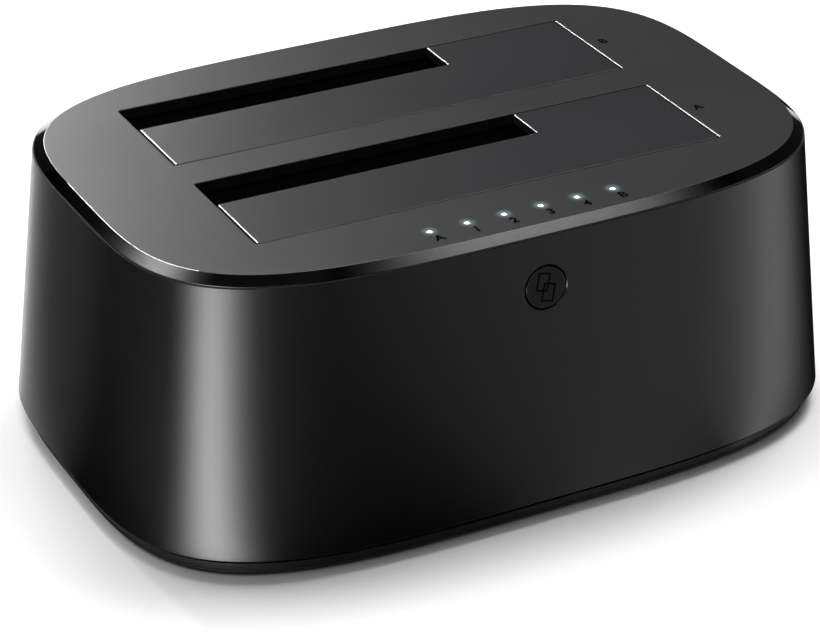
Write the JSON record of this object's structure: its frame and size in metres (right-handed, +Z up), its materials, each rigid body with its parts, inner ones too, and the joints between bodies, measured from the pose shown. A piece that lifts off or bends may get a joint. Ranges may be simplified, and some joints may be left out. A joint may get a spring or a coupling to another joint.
{
  "type": "hard drive docking station",
  "caption": "Low two-bay dock for bare hard drives, with sprung L-shaped flaps that fold into the bays, indicator lights, a copy button and rear sockets.",
  "frame": {"origin": "on the table under the middle of the flat top, at the bottom of the feet", "axes": "+X to the right along the bays, +Y from the front wall with the button to the rear panel, +Z up"},
  "size_m": [0.1612, 0.1112, 0.0625],
  "materials": {
    "shell_black": "satin black moulded plastic with soft highlights",
    "cover_grey": "fine matte texture with a polished bevel",
    "base_black": "matte black moulded plastic",
    "inner_black": "plain black moulded plastic",
    "rubber": "soft black rubber",
    "steel": "plated steel",
    "board_green": "green circuit board",
    "gold": "gold-plated contacts",
    "lens": "clear to milky plastic, lit from below",
    "ribbon_white": "flat white cable"
  },
  "bodies": {
    "dock": {"body_shell": "shell_black", "top_cover": "cover_grey", "base_plate": "base_black", "rubber_feet": "rubber", "base_screws": "steel", "bay_guide_a": "inner_black", "bay_guide_b": "inner_black", "guide_screws": "steel", "hinge_rod_a": "steel", "hinge_rod_b": "steel", "flap_spring_a": "steel", "flap_spring_b": "steel", "main_board": "board_green", "board_screws": "steel", "drive_socket_a": "inner_black", "drive_socket_b": "inner_black", "socket_contacts_a": "gold", "socket_contacts_b": "gold", "indicator_board": "board_green", "indicator_screws": "steel", "indicator_leds": "lens", "light_pipes": "lens", "switch_body": "inner_black", "data_socket": "steel", "data_tongue": "inner_black", "power_inlet": "inner_black", "inlet_pin": "gold", "power_switch": "inner_black", "bridge_chips": "inner_black", "capacitors": "steel", "inductors": "steel", "crystal": "steel", "ribbon_cable": "ribbon_white", "ribbon_headers": "inner_black"},
    "flap_a": {"flap_a": "cover_grey"},
    "flap_b": {"flap_b": "cover_grey"},
    "button": {"copy_button": "shell_black", "switch_plunger": "inner_black"},
    "rocker": {"power_rocker": "inner_black"}
  },
  "joints": [
    {"name": "flap_a_hinge", "type": "hinge", "parent": "dock", "child": "flap_a", "pos_m": [0, -0.03255, 0.0591], "axis": [-1, 0, 0], "range_deg": [0, 90], "stiffness_Nm_per_rad": 0.006, "springref_deg": -34.38, "deforming": ["flap_spring_a"]},
    {"name": "flap_b_hinge", "type": "hinge", "parent": "dock", "child": "flap_b", "pos_m": [0, 0.00525, 0.0591], "axis": [-1, 0, 0], "range_deg": [0, 90], "stiffness_Nm_per_rad": 0.006, "springref_deg": -34.38, "deforming": ["flap_spring_b"]},
    {"name": "button_press", "type": "slide", "parent": "dock", "child": "button", "axis": [0, 1, 0], "range_m": [0, 0.0005], "stiffness_N_per_m": 1000, "springref_m": -0.001},
    {"name": "rocker_tilt", "type": "hinge", "parent": "dock", "child": "rocker", "pos_m": [-0.022, 0.0508, 0.0166], "axis": [0, 0, 1], "range_deg": [-16, 0]}
  ]
}
